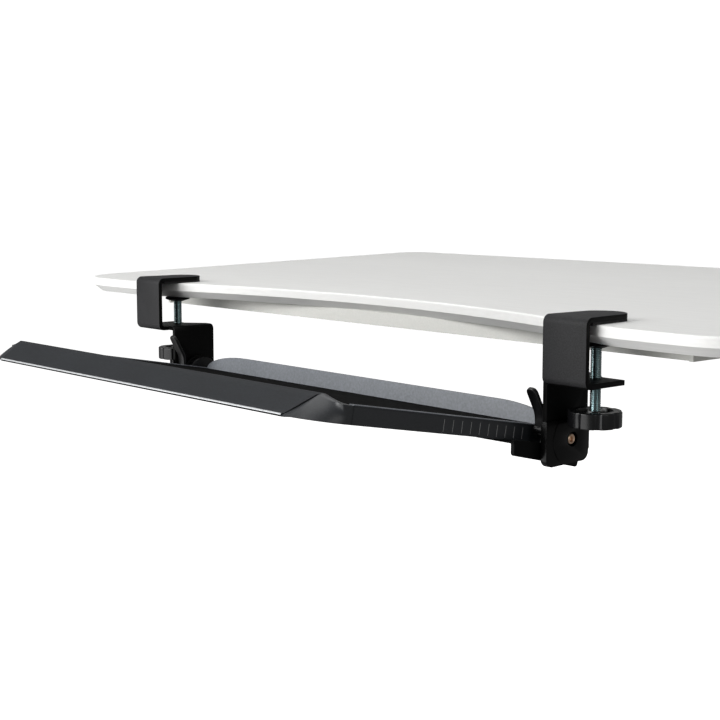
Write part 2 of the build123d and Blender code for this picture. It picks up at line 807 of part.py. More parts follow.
with BuildPart() as palm_rest:
    with BuildSketch(side_plane(-palm_half_crest)):
        with BuildLine():
            Polyline(
                (-tray_front, -deck_n - palm_lip),
                (-tray_front + 1.2, -deck_n - palm_lip),
                (-tray_front + palm_wall + 2.5, palm_floor_n),
                (-palm_back, palm_floor_n),
                (-palm_back, deck_n),
                (-palm_back - 4, deck_n + 1.5),
                (-ridge_s + palm_crest, crest_n),
                (-ridge_s, crest_n),
                close=True,
            )
        make_face()
    extrude(amount=2 * palm_half_crest)
    with BuildSketch(deck_plane.offset(-2 * skirt_h)):
        with BuildLine():
            Polyline(*palm_outline, close=True)
        make_face()
    extrude(amount=4 * skirt_h, mode=Mode.INTERSECT)
    # Hollow underneath, with a boss for each screw.
    with BuildSketch(side_plane(-palm_half_front + palm_wall)):
        with BuildLine():
            Polyline(
                (-tray_front + palm_wall + 7, palm_floor_n),
                (-palm_back - palm_wall, palm_floor_n),
                (-palm_back - palm_wall, deck_n - 1),
                (-ridge_s + palm_crest / 2, palm_roof_n),
                close=True,
            )
        make_face()
    extrude(amount=2 * (palm_half_front - palm_wall), mode=Mode.SUBTRACT)
    with BuildSketch(deck_plane.offset(palm_floor_n)):
        with Locations(palm_screw_spots):
            Circle(palm_boss_r)
    extrude(amount=palm_roof_n - palm_floor_n)
    with BuildSketch(deck_plane.offset(palm_floor_n)):
        with Locations(palm_screw_spots):
            Circle(tray_screw_r + hole_gap)
    extrude(amount=palm_screw_bite + 2, mode=Mode.SUBTRACT)
save(palm_rest.part, "palm_rest")

with BuildPart() as rear_guard:
    guard_plane = Plane(origin=(0, pivot_y, pivot_z), x_dir=(1, 0, 0), z_dir=-back_dir)
    with BuildSketch(guard_plane.offset(-guard_t)):
        guard_top = deck_n + guard_h
        with BuildLine():
            Line((-guard_flat_half, guard_top), (guard_flat_half, guard_top))
            EllipticalCenterArc(
                (guard_flat_half, deck_n), guard_half - guard_flat_half, guard_h, start_angle=0, arc_size=90
            )
            Line((guard_half, deck_n), (-guard_half, deck_n))
            EllipticalCenterArc(
                (-guard_flat_half, deck_n), guard_half - guard_flat_half, guard_h, start_angle=90, arc_size=90
            )
        make_face()
    extrude(amount=guard_t)
    with BuildSketch(deck_plane.offset(deck_n)):
        with Locations((0, guard_t)):
            Rectangle(2 * guard_flat_half, guard_foot, align=(Align.CENTER, Align.MIN))
    extrude(amount=guard_foot_h)
    with BuildSketch(deck_plane.offset(deck_n)):
        with Locations(guard_screw_spots):
            Circle(tray_screw_r + hole_gap)
    extrude(amount=guard_foot_h - 1, mode=Mode.SUBTRACT)
save(rear_guard.part, "rear_guard")

with BuildPart() as slide_rail:
    with BuildSketch(deck_plane.offset(rail_low_n)):
        with Locations((rail_mid_x, -(rail_from + rail_to) / 2)):
            Rectangle(rail_w, rail_to - rail_from)
    extrude(amount=rail_h)
    with BuildSketch(deck_plane.offset(rail_low_n + rail_wall)):
        with Locations((rail_mid_x, -(rail_from + rail_to) / 2)):
            Rectangle(rail_w - 2 * rail_wall, rail_to - rail_from)
    extrude(amount=rail_h - 2 * rail_wall, mode=Mode.SUBTRACT)
    with BuildSketch(deck_plane.offset(rail_low_n)):
        with Locations((rail_mid_x, -(rail_from + rail_to) / 2)):
            Rectangle(slot_w, rail_to - rail_from)
    extrude(amount=rail_wall, mode=Mode.SUBTRACT)
    right_rail_spots = [spot for spot in rail_screw_spots if spot[0] > 0]
    with BuildSketch(deck_plane.offset(rail_top_n - rail_wall)):
        with Locations(right_rail_spots):
            Circle(tray_screw_r + hole_gap)
    extrude(amount=rail_wall, mode=Mode.SUBTRACT)
    with BuildSketch(deck_plane.offset(rail_top_n - rail_wall)):
        with Locations(right_rail_spots):
            Circle(tray_screw_head_r + hole_gap)
    extrude(amount=tray_screw_head_h, mode=Mode.SUBTRACT)
save_pair(slide_rail.part, "slide_rail")

rail_screw_bite = rail_wall - tray_screw_head_h + wall_t - deck_skin - tray_screw_tip_gap
with BuildPart() as tray_screws:
    for spots, seat_n, bite in (
        (rail_screw_spots, rail_top_n - rail_wall, rail_screw_bite),
        (palm_screw_spots, -deck_n - tray_screw_head_h, wall_t + palm_screw_bite),
        (guard_screw_spots, deck_n - wall_t - tray_screw_head_h, wall_t + guard_screw_bite),
    ):
        with BuildSketch(deck_plane.offset(seat_n)):
            with Locations(spots):
                Circle(tray_screw_head_r)
        extrude(amount=tray_screw_head_h)
        with BuildSketch(deck_plane.offset(seat_n)):
            with Locations(spots):
                Circle(tray_screw_r)
        extrude(amount=tray_screw_head_h + bite)
save(tray_screws.part, "tray_screws")
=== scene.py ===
import json
import math

import bmesh
import bpy
from mathutils import Matrix, Vector


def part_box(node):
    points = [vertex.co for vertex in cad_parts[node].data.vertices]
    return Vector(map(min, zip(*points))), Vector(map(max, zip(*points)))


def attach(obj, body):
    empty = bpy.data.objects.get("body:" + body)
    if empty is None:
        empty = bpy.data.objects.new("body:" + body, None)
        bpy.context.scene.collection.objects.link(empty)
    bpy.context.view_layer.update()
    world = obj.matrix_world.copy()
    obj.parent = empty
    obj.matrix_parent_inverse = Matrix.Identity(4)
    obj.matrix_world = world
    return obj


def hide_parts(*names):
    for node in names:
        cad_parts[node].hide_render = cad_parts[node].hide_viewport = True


# A white worktop on a low steel under-frame, with a clamp-on keyboard tray.
# Millimetres inside the shape functions; metres on the finished pieces.

MM = 0.001

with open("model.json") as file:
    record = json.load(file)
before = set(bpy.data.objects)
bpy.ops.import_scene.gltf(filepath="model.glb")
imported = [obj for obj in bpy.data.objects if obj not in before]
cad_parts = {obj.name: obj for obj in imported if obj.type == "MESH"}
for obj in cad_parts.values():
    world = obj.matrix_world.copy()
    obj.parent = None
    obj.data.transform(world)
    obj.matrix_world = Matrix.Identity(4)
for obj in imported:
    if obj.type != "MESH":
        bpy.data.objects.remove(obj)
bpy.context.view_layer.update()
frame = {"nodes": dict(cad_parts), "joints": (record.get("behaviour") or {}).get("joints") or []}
nodes = frame["nodes"]
joints = {joint["name"]: joint for joint in frame["joints"]}
scene = bpy.context.scene


# ---------------------------------------------------------------- helpers
def linear(code):
    """Turns an sRGB hex value into a linear colour with alpha 1."""
    parts = [int(code[i : i + 2], 16) / 255 for i in (0, 2, 4)]
    return [c / 12.92 if c <= 0.04045 else ((c + 0.055) / 1.055) ** 2.4 for c in parts] + [1.0]


def add(tree, kind, links=(), **settings):
    """Adds a node with its settings, and fills its inputs from values or other nodes' outputs."""
    made = tree.nodes.new(kind)
    for name, value in settings.items():
        setattr(made, name, value)
    for socket, value in dict(links).items():
        if isinstance(value, bpy.types.NodeSocket):
            tree.links.new(value, made.inputs[socket])
        else:
            made.inputs[socket].default_value = value
    return made


def finish(name, dark, light, grain_mm, depth_mm, stretch=(1, 1, 1), shade=(0.35, 0.65), **sockets):
    """A surface finish: two close colours mixed by a grain of a real size, and its bump.

    The grain also nudges the roughness, and a broad cloud keeps large faces from looking flat."""
    material = bpy.data.materials.new(name)
    material.use_nodes = True
    tree = material.node_tree
    tree.nodes.clear()
    place = add(tree, "ShaderNodeTexCoord")
    turned = add(tree, "ShaderNodeMapping", {"Vector": place.outputs["Object"], "Scale": stretch})
    grain = add(
        tree,
        "ShaderNodeTexNoise",
        {"Vector": turned.outputs[0], "Scale": 1000 / grain_mm, "Detail": 2.0, "Roughness": 0.6},
    )
    cloud = add(
        tree,
        "ShaderNodeTexNoise",
        {"Vector": turned.outputs[0], "Scale": 1000 / (grain_mm * 28), "Detail": 3.0},
    )
    both = add(
        tree,
        "ShaderNodeMix",
        {"Factor": 0.3, "A": grain.outputs["Fac"], "B": cloud.outputs["Fac"]},
        data_type="FLOAT",
    )
    colour = add(tree, "ShaderNodeValToRGB", {"Fac": both.outputs["Result"]})
    colour.color_ramp.elements[0].position = shade[0]
    colour.color_ramp.elements[0].color = linear(dark)
    colour.color_ramp.elements[1].position = shade[1]
    colour.color_ramp.elements[1].color = linear(light)
    base_rough = sockets.pop("Roughness", 0.5)
    rough = add(
        tree,
        "ShaderNodeMapRange",
        {"Value": cloud.outputs["Fac"], "To Min": base_rough * 0.88, "To Max": base_rough * 1.12},
    )
    bump = add(
        tree,
        "ShaderNodeBump",
        {"Height": grain.outputs["Fac"], "Distance": depth_mm * MM, "Strength": 1.0},
    )
    shader = add(
        tree,
        "ShaderNodeBsdfPrincipled",
        {
            "Base Color": colour.outputs["Color"],
            "Roughness": rough.outputs["Result"],
            "Normal": bump.outputs["Normal"],
            **sockets,
        },
    )
    add(tree, "ShaderNodeOutputMaterial", {"Surface": shader.outputs[0]})
    return material


# ---------------------------------------------------------------- finishes
# Melamine-faced chipboard, pressed against a faintly lined plate: white with soft long streaks.
worktop_melamine = finish(
    "white_melamine_pressed", "DEDEDC", "E4E4E2", 3.0, 0.01, stretch=(0.06, 1, 1),
    **{"Roughness": 0.42},
)
# Steel angle in white powder coat, cured to a slight orange peel.
frame_powder_coat = finish(
    "white_powder_coat_steel", "CFCFCA", "D6D6D1", 1.4, 0.03, **{"Roughness": 0.5}
)
# Zinc-plated pressings: pale metal with a cloudy bloom.
zinc_plate = finish(
    "zinc_plated_steel", "9DA6A8", "C4CCCE", 2.0, 0.01, **{"Metallic": 1.0, "Roughness": 0.34}
)
# Zinc-plated rolled thread: brighter and bluish, as chromate leaves it.
zinc_thread = finish(
    "zinc_plated_rolled_thread", "8FA3A6", "C2D2D4", 0.9, 0.004,
    **{"Metallic": 1.0, "Roughness": 0.22},
)
# Sprayed textured powder coat over steel strap: charcoal with a speckled grain.
clamp_powder_coat = finish(
    "charcoal_textured_powder_coat", "111112", "262628", 1.1, 0.06,
    **{"Roughness": 0.6, "Specular IOR Level": 0.25},
)
# Smooth near-black coat: the arms, the pads and the clamp's leaf below its web are this colour; on
# the clamp body it is also painted shade, laid on every face that turns sideways.
near_black_coat_and_side_shade = finish(
    "near_black_coat_painted_side_shade", "040404", "080808", 1.4, 0.01,
    **{"Roughness": 0.45, "Specular IOR Level": 0.08},
)
# Moulded nitrile rubber: matt black.
nitrile_rubber = finish(
    "black_nitrile_rubber", "0C0C0C", "131313", 0.8, 0.02, **{"Roughness": 0.85}
)
# Injection-moulded black ABS, half polished: deep black with soft highlights.
knob_abs = finish(
    "black_abs_half_polished", "060607", "0B0B0D", 1.2, 0.01,
    **{"Roughness": 0.26, "Specular IOR Level": 0.4},
)
cover_abs = finish(
    "black_abs_polished", "040404", "070707", 2.0, 0.006,
    **{"Roughness": 0.26, "Specular IOR Level": 0.18},
)
# Turned brass end of the pivot bolt: warm and slightly pink.
turned_brass = finish(
    "turned_brass", "D6B296", "EBCDB4", 0.8, 0.01, **{"Metallic": 1.0, "Roughness": 0.3}
)
# Stamped nylon sheet: milky off-white.
nylon_sheet = finish("natural_nylon_sheet", "CFCBC0", "D8D4C8", 1.5, 0.01, **{"Roughness": 0.5})
# Roll-formed steel channel with black phosphate: dark, half metallic.
phosphate_steel = finish(
    "black_phosphated_steel", "1B1C1D", "2A2B2D", 1.6, 0.01, **{"Metallic": 0.7, "Roughness": 0.45}
)
# Spark-textured ABS of the tray: charcoal with a fine even tooth.
tray_abs = finish(
    "charcoal_abs_spark_textured", "191B1E", "222529", 1.3, 0.02,
    **{"Roughness": 0.42, "Specular IOR Level": 0.55},
)
# Dead matt black: painted shadow over the tray's deck, and painted shade along the palm rest's
# underside.
deck_painted_shadow = finish(
    "black_painted_deck_shadow", "030303", "050505", 1.3, 0.02,
    **{"Roughness": 0.9, "Specular IOR Level": 0.04},
)
# Rim of the tray in a lighter slate: painted highlight for the light its top catches.
rim_painted_highlight = finish("slate_painted_rim_highlight", "5C5F63", "70737A", 2.0, 0.006, **{"Roughness": 0.35})
# Palm rest in the same ABS with a softer, lighter leather-fine tooth.
palm_abs = finish(
    "slate_abs_fine_textured", "15171A", "1E2125", 1.5, 0.03,
    **{"Roughness": 0.6, "Specular IOR Level": 0.3},
)
# Rear guard: smooth ABS in a lighter slate than the tray, as painted light for the light that falls
# on its inner face.
guard_abs = finish("slate_abs_smooth", "6A6E73", "7C8086", 2.4, 0.01, **{"Roughness": 0.4})
# Bright strip along the palm rest's foot: painted highlight on its rounded lower edge.
foot_painted_highlight = finish(
    "painted_foot_highlight", "B4B6B8", "CDCFD1", 2.0, 0.004, **{"Metallic": 0.35, "Roughness": 0.3}
)
# Levers in black ABS with a soft sheen.
lever_abs = finish(
    "black_abs_satin", "050506", "0B0B0C", 1.6, 0.008,
    **{"Roughness": 0.35, "Specular IOR Level": 0.35},
)
# Pad-printed tick marks: thin pale ink.
tick_ink = finish("pale_grey_ink", "7E7E7E", "8E8E8E", 1.0, 0.002, **{"Roughness": 0.6})

carried = {
    "desktop_panel": worktop_melamine,
    "frame_": frame_powder_coat,
    "frame_screws": zinc_plate,
    "leg_": zinc_plate,
    "clamp_body": clamp_powder_coat,
    "clamp_liner": nitrile_rubber,
    "clamp_screw": zinc_thread,
    "clamp_knob": knob_abs,
    "clamp_pad": near_black_coat_and_side_shade,
    "pad_rubber": nitrile_rubber,
    "pivot_cover": cover_abs,
    "pivot_bolt": turned_brass,
    "friction_washers": nylon_sheet,
    "lever": knob_abs,
    "arm": near_black_coat_and_side_shade,
    "slide_shoe": nylon_sheet,
    "slide_rail": phosphate_steel,
    "tray_panel": tray_abs,
    "palm_rest": palm_abs,
    "rear_guard": guard_abs,
    "tray_screws": zinc_plate,
}


def finish_of(node):
    """The finish whose name matches the node's for longest."""
    return carried[max((key for key in carried if node.startswith(key)), key=len)]


for node, thing in nodes.items():
    thing.data.materials.clear()
    thing.data.materials.append(finish_of(node))

# ---------------------------------------------------------------- shape helpers
tilt_joint = joints["tray_tilt"]
pivot = Vector(tilt_joint["pos_m"])
forward = Vector(joints["tray_slide"]["axis"])
upward = Vector((1, 0, 0)).cross(-forward)


def on_tray(x, s, n):
    """A point measured from the pivots: across, forward along the tray and up from it, in mm."""
    return Vector((x * MM, 0, 0)) + pivot + forward * (s * MM) + upward * (n * MM)


def finished(name, mesh, body, stands_for, finishes):
    """Makes a mesh a piece, with its finishes, its body and the nodes that it stands for."""
    thing = bpy.data.objects.new(name, mesh)
    scene.collection.objects.link(thing)
    strips = [face.material_index for face in mesh.polygons]
    mesh.materials.clear()
    for surface in finishes:
        mesh.materials.append(surface)
    mesh.polygons.foreach_set("material_index", strips)
    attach(thing, body)
    if stands_for:
        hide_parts(*stands_for)
    return thing


def to_mesh(name, shape, sharp_deg=32):
    """Closes off a bmesh: doubles merged, faces pointing out, smooth but for its real edges."""
    bmesh.ops.remove_doubles(shape, verts=shape.verts, dist=2e-6)
    bmesh.ops.recalc_face_normals(shape, faces=shape.faces)
    mesh = bpy.data.meshes.new(name)
    shape.to_mesh(mesh)
    shape.free()
    mesh.shade_smooth()
    mesh.set_sharp_from_angle(angle=math.radians(sharp_deg))
    return mesh


def skin(shape, rings, material=0, bands=None):
    """Joins equal rings of points into a tube. bands gives some strips of it another finish."""
    rows = [[shape.verts.new(point) for point in ring] for ring in rings]
    count = len(rows[0])
    for first, second in zip(rows, rows[1:]):
        for k in range(count):
            after = (k + 1) % count
            face = shape.faces.new((first[k], first[after], second[after], second[k]))
            face.material_index = (bands or {}).get(k, material)
    for row in (rows[0], rows[-1]):
        face = shape.faces.new(row)
        face.material_index = material


COPLANAR_DEG = 0.6


def softened(node, width_mm, segments=2, angle_deg=34):
    """A copy of a node's mesh with its sharp edges rounded by a real radius."""
    shape = bmesh.new()
    shape.from_mesh(nodes[node].data)
    bmesh.ops.remove_doubles(shape, verts=shape.verts, dist=2e-6)
    bmesh.ops.dissolve_limit(
        shape,
        angle_limit=math.radians(COPLANAR_DEG),
        verts=shape.verts,
        edges=shape.edges,
        delimit={"NORMAL"},
    )
    mesh = bpy.data.meshes.new(node + "_soft")
    shape.to_mesh(mesh)
    shape.free()
    holder = bpy.data.objects.new(node + "_holder", mesh)
    scene.collection.objects.link(holder)
    bevel = holder.modifiers.new("round", "BEVEL")
    bevel.width = width_mm * MM
    bevel.segments = segments
    bevel.limit_method = "ANGLE"
    bevel.angle_limit = math.radians(angle_deg)
    bevel.use_clamp_overlap = True
    bevel.miter_outer = "MITER_SHARP"
    result = baked(holder, node + "_rounded")
    result.shade_smooth()
    result.set_sharp_from_angle(angle=math.radians(38))
    return result


def baked(holder, name):
    """The evaluated result of an object's modifiers as a plain mesh; the object goes away."""
    bpy.context.view_layer.update()
    graph = bpy.context.evaluated_depsgraph_get()
    mesh = bpy.data.meshes.new_from_object(holder.evaluated_get(graph))
    mesh.name = name
    holder.modifiers.clear()
    bpy.data.objects.remove(holder)
    return mesh


def grown(name, tree, inputs):
    """Runs a Geometry Nodes tree with its named inputs set, and keeps the mesh."""
    holder = bpy.data.objects.new(name, bpy.data.meshes.new(name))
    scene.collection.objects.link(holder)
    maker = holder.modifiers.new("grow", "NODES")
    maker.node_group = tree
    for item in tree.interface.items_tree:
        if item.item_type == "SOCKET" and item.in_out == "INPUT" and item.name in inputs:
            maker[item.identifier] = inputs[item.name]
    return baked(holder, name)


def start_tree(name, inputs):
    """A Geometry Nodes tree with float inputs of these names; gives the tree and its input node."""
    tree = bpy.data.node_groups.new(name, "GeometryNodeTree")
    for label, kind in inputs:
        tree.interface.new_socket(label, in_out="INPUT", socket_type=kind)
    tree.interface.new_socket("Geometry", in_out="OUTPUT", socket_type="NodeSocketGeometry")
    return tree, add(tree, "NodeGroupInput")


def end_tree(tree, geometry, surface):
    """Ends a tree in real geometry with its finish."""
    real = add(tree, "GeometryNodeRealizeInstances", {"Geometry": geometry})
    coated = add(
        tree, "GeometryNodeSetMaterial", {"Geometry": real.outputs[0], "Material": surface}
    )
    add(tree, "NodeGroupOutput", {"Geometry": coated.outputs[0]})


# ---------------------------------------------------------------- clamp screws: a rolled M10 thread
def thread_tree():
    """A rolled thread: a grid wound round an axis, whose radius rises and falls along the helix."""
    tree, given = start_tree(
        "rolled_thread",
        [
            ("Crest radius", "NodeSocketFloat"),
            ("Thread depth", "NodeSocketFloat"),
            ("Pitch", "NodeSocketFloat"),
            ("Length", "NodeSocketFloat"),
            ("Rows", "NodeSocketInt"),
            ("Sides", "NodeSocketInt"),
        ],
    )
    grid = add(
        tree,
        "GeometryNodeMeshGrid",
        {
            "Size X": 1.0,
            "Size Y": 1.0,
            "Vertices X": given.outputs["Sides"],
            "Vertices Y": given.outputs["Rows"],
        },
    )
    place = add(tree, "GeometryNodeInputPosition")
    axes = add(tree, "ShaderNodeSeparateXYZ", {0: place.outputs[0]})
    turn = add(tree, "ShaderNodeMath", {0: axes.outputs["X"], 1: 2 * math.pi}, operation="MULTIPLY")
    height = add(tree, "ShaderNodeMath", {0: axes.outputs["Y"], 1: 0.5}, operation="ADD")
    rise = add(
        tree,
        "ShaderNodeMath",
        {0: height.outputs[0], 1: given.outputs["Length"]},
        operation="MULTIPLY",
    )
    laps = add(
        tree, "ShaderNodeMath", {0: rise.outputs[0], 1: given.outputs["Pitch"]}, operation="DIVIDE"
    )
    phase = add(
        tree, "ShaderNodeMath", {0: laps.outputs[0], 1: axes.outputs["X"]}, operation="SUBTRACT"
    )
    wave = add(tree, "ShaderNodeMath", {0: phase.outputs[0], 1: 0.5}, operation="PINGPONG")
    valley = add(tree, "ShaderNodeMath", {0: wave.outputs[0], 1: 2.0}, operation="MULTIPLY")
    drop = add(
        tree,
        "ShaderNodeMath",
        {0: valley.outputs[0], 1: given.outputs["Thread depth"]},
        operation="MULTIPLY",
    )
    radius = add(
        tree,
        "ShaderNodeMath",
        {0: given.outputs["Crest radius"], 1: drop.outputs[0]},
        operation="SUBTRACT",
    )
    cosine = add(tree, "ShaderNodeMath", {0: turn.outputs[0]}, operation="COSINE")
    sine = add(tree, "ShaderNodeMath", {0: turn.outputs[0]}, operation="SINE")
    px = add(
        tree, "ShaderNodeMath", {0: radius.outputs[0], 1: cosine.outputs[0]}, operation="MULTIPLY"
    )
    py = add(
        tree, "ShaderNodeMath", {0: radius.outputs[0], 1: sine.outputs[0]}, operation="MULTIPLY"
    )
    wound = add(
        tree, "ShaderNodeCombineXYZ", {0: px.outputs[0], 1: py.outputs[0], 2: rise.outputs[0]}
    )
    moved = add(
        tree,
        "GeometryNodeSetPosition",
        {"Geometry": grid.outputs["Mesh"], "Position": wound.outputs[0]},
    )
    sewn = add(
        tree, "GeometryNodeMergeByDistance", {"Geometry": moved.outputs[0], "Distance": 1e-6}
    )
    end_tree(tree, sewn.outputs[0], zinc_thread)
    return tree


rolled_thread = thread_tree()
THREAD_PITCH = 1.5
THREAD_DEPTH = 0.75
ROWS_PER_TURN = 8
THREAD_SIDES = 41
TIP_H, TIP_CHAMFER, TIP_BITE = 2.8, 0.7, 0.2
TIP_R, TIP_END_R, TIP_SIDES = 3.4, 2.7, 28
for hand in ("left", "right"):
    low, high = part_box("clamp_screw_" + hand)
    centre = (low + high) / 2
    length = (high.z - TIP_H * MM - low.z) / MM
    rows = int(length / THREAD_PITCH * ROWS_PER_TURN)
    mesh = grown(
        "clamp_screw_thread_" + hand,
        rolled_thread,
        {
            "Crest radius": (high.x - low.x) / 2,
            "Thread depth": THREAD_DEPTH * MM,
            "Pitch": THREAD_PITCH * MM,
            "Length": length * MM,
            "Rows": rows,
            "Sides": THREAD_SIDES,
        },
    )
    shape = bmesh.new()
    shape.from_mesh(mesh)
    bmesh.ops.remove_doubles(shape, verts=shape.verts, dist=2e-6)
    bmesh.ops.translate(shape, verts=shape.verts, vec=(centre.x, centre.y, low.z))
    bmesh.ops.holes_fill(shape, edges=shape.edges, sides=0)
    tip = [
        (TIP_R, length - TIP_BITE),
        (TIP_R, length + TIP_H - TIP_CHAMFER),
        (TIP_END_R, length + TIP_H),
    ]
    skin(
        shape,
        [
            [
                (
                    centre.x + r * MM * math.cos(k * math.tau / TIP_SIDES),
                    centre.y + r * MM * math.sin(k * math.tau / TIP_SIDES),
                    low.z + z * MM,
                )
                for k in range(TIP_SIDES)
            ]
            for r, z in tip
        ],
    )
    finished(
        "clamp_screw_thread_" + hand,
        to_mesh("clamp_screw_thread_" + hand, shape, 50),
        "screw_" + hand,
        ["clamp_screw_" + hand],
        [zinc_thread],
    )

# ---------------------------------------------------------------- tray, its rim and palm rest
SKIRT_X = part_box("tray_panel")[1].x / MM
DECK_N = 7.6
TRAY_FRONT = 276.3
CORNER_R = 37.0
CREST_X = 242.0
FRONT_X = SKIRT_X - CORNER_R
RIDGE_S = 250.2
PALM_BACK = 236.0
CREST_N = 13.6
FLAT_MAT, RIM_MAT, DECK_MAT = 0, 1, 2
REAR_R, REAR_S = 12.0, -14.0
RIM_W, RIM_H, RIM_ROUND = 5.5, 0.9, 0.35
# Along each corner, as shares of its run: where the lip starts to fall, and where the arc ends.
LIP_START, ARC_END = 0.3, 0.8
LIP_BACK, LIP_CURVE = 3.2, 1.4
CORNER_BULGE, CREASE_DEPTH, CREASE_SHARE = 1.6, 2.6, 0.07


def tray_shell():
    """The tray behind the palm rest, with a raised rim round its deck and the two front corners."""
    shape = bmesh.new()
    shape.from_mesh(nodes["tray_panel"].data)
    bmesh.ops.remove_doubles(shape, verts=shape.verts, dist=2e-6)
    cut = bmesh.ops.bisect_plane(
        shape,
        geom=shape.verts[:] + shape.edges[:] + shape.faces[:],
        dist=1e-7,
        plane_co=on_tray(0, PALM_BACK - 0.01, 0),
        plane_no=forward,
        clear_outer=True,
    )
    edges = [piece for piece in cut["geom_cut"] if isinstance(piece, bmesh.types.BMEdge)]
    bmesh.ops.triangle_fill(shape, edges=edges, use_beauty=True)
    bmesh.ops.dissolve_limit(
        shape,
        angle_limit=math.radians(COPLANAR_DEG),
        verts=shape.verts,
        edges=shape.edges,
        delimit={"NORMAL"},
    )
    shape.normal_update()
    # Faces turned up, the deck, take the dead black as painted shadow.
    for face in shape.faces:
        if face.normal.dot(upward) > 0.9:
            face.material_index = DECK_MAT
    # Rim: a low rounded bead along the sides and the rear, in the lighter slate of painted
    # highlight.
    path = [(SKIRT_X, PALM_BACK, 1, 0)]
    for step in range(9):
        turn = step / 8 * math.pi / 2
        path.append(
            (
                SKIRT_X - REAR_R + REAR_R * math.cos(turn),
                REAR_S + REAR_R - REAR_R * math.sin(turn),
                math.cos(turn),
                -math.sin(turn),
            )
        )
    path += [(-x, s, -nx, ns) for x, s, nx, ns in reversed(path)]
    section = [
        (0, -0.4),
        (0, RIM_H - RIM_ROUND),
        (RIM_ROUND, RIM_H),
        (RIM_W - RIM_ROUND, RIM_H),
        (RIM_W, RIM_H - RIM_ROUND),
        (RIM_W, -0.4),
    ]
    skin(
        shape,
        [
            [on_tray(x - nx * d, s - ns * d, DECK_N + up) for d, up in section]
            for x, s, nx, ns in path
        ],
        RIM_MAT,
    )
    # Corners: a lip that rises from the skirt's rim to the palm rest's ridge, and folds down
    # to its crease.
    for hand in (-1, 1):
        rings = []
        steps = 40
        for step in range(steps + 1):
            t = step / steps
            turn = max(0.0, 1 - t / ARC_END) * math.pi / 2
            foot_s = TRAY_FRONT - CORNER_R + CORNER_R * math.sin(turn)
            foot = Vector((FRONT_X + CORNER_R * math.cos(turn), foot_s, -DECK_N))
            straight = max(0.0, (t - ARC_END) / (1 - ARC_END))
            foot.y -= straight * (TRAY_FRONT - CORNER_R - PALM_BACK)
            q = min(1.0, max(0.0, (t - LIP_START) / (ARC_END - LIP_START)))
            top = Vector(
                (
                    CREST_X + (SKIRT_X - CREST_X) * q,
                    RIDGE_S - LIP_BACK * q,
                    DECK_N + (CREST_N - DECK_N) * (1 - q) ** LIP_CURVE,
                )
            )
            top.y -= straight * (RIDGE_S - LIP_BACK - PALM_BACK)
            behind = Vector((top.x, max(PALM_BACK, top.y - 4), top.z))
            deck = Vector((CREST_X + (SKIRT_X - CREST_X) * max(q, t), PALM_BACK - 0.5, DECK_N))
            ring = [foot]
            rows = 10
            for row in range(1, rows + 1):
                v = row / rows
                crease = CREASE_DEPTH * math.exp(-((t / CREASE_SHARE) ** 2))
                bulge = (CORNER_BULGE * (1 - t) - crease) * math.sin(math.pi * v)
                point = foot.lerp(top, v)
                point.x += bulge * math.cos(turn)
                point.y += bulge * math.sin(turn)
                ring.append(point)
            ring += [behind, deck, Vector((deck.x, deck.y, -DECK_N))]
            rings.append([on_tray(hand * p.x, p.y, p.z) for p in ring])
        skin(shape, rings, FLAT_MAT)
    return to_mesh("tray_shell", shape, 34)


finished(
    "tray_shell",
    tray_shell(),
    "tray",
    ["tray_panel"],
    [tray_abs, rim_painted_highlight, deck_painted_shadow],
)


def palm_rest_mesh():
    """The palm rest: a long wedge with a rounded ridge, a bright painted highlight along the bead
    at its foot, and painted shade under it.
    """
    run = Vector((RIDGE_S - TRAY_FRONT, CREST_N + 8.4)).normalized()
    profile = [
        (TRAY_FRONT - 2.5, -8.4),
        (TRAY_FRONT - 0.6, -8.4),
        (TRAY_FRONT - 0.3, -8.1),
        (TRAY_FRONT - 0.4, -7.3),
        (TRAY_FRONT - 0.1, -7.1),
        (TRAY_FRONT, -6.3),
        (TRAY_FRONT - 0.5, -5.7),
        (TRAY_FRONT - 2.3, -5.3),
    ]
    for share in range(1, 9):
        far = share / 8 * 30.5
        profile.append((TRAY_FRONT - 2.3 + run.x * far, -5.3 + run.y * far))
    profile[-1] = (RIDGE_S + 1.4, CREST_N - 1.1)
    profile += [
        (RIDGE_S + 0.5, CREST_N - 0.3),
        (RIDGE_S - 0.6, CREST_N),
        (RIDGE_S - 4.0, CREST_N),
        (RIDGE_S - 7.0, CREST_N - 1.0),
        (RIDGE_S - 10.0, DECK_N + 1.6),
        (PALM_BACK - 0.5, DECK_N),
        (PALM_BACK - 0.5, -DECK_N),
        (TRAY_FRONT - 12, -DECK_N),
    ]
    shape = bmesh.new()
    rings = []
    steps = 48
    for step in range(steps + 1):
        t = 2 * step / steps - 1
        ring = []
        for s, n in profile:
            share = min(1.0, max(0.0, (TRAY_FRONT - s) / (TRAY_FRONT - RIDGE_S)))
            ring.append(on_tray(t * (FRONT_X + (CREST_X - FRONT_X) * share), s, n))
        rings.append(ring)
    # Bands 4 and 5, the bead, take the painted highlight; bands 0 to 2, under the foot, take the
    # dead black as painted shade.
    skin(shape, rings, 0, bands={0: 2, 1: 2, 2: 2, 4: 1, 5: 1})
    return to_mesh("palm_wedge", shape, 30)


finished(
    "palm_wedge",
    palm_rest_mesh(),
    "tray",
    ["palm_rest"],
    [palm_abs, foot_painted_highlight, deck_painted_shadow],
)



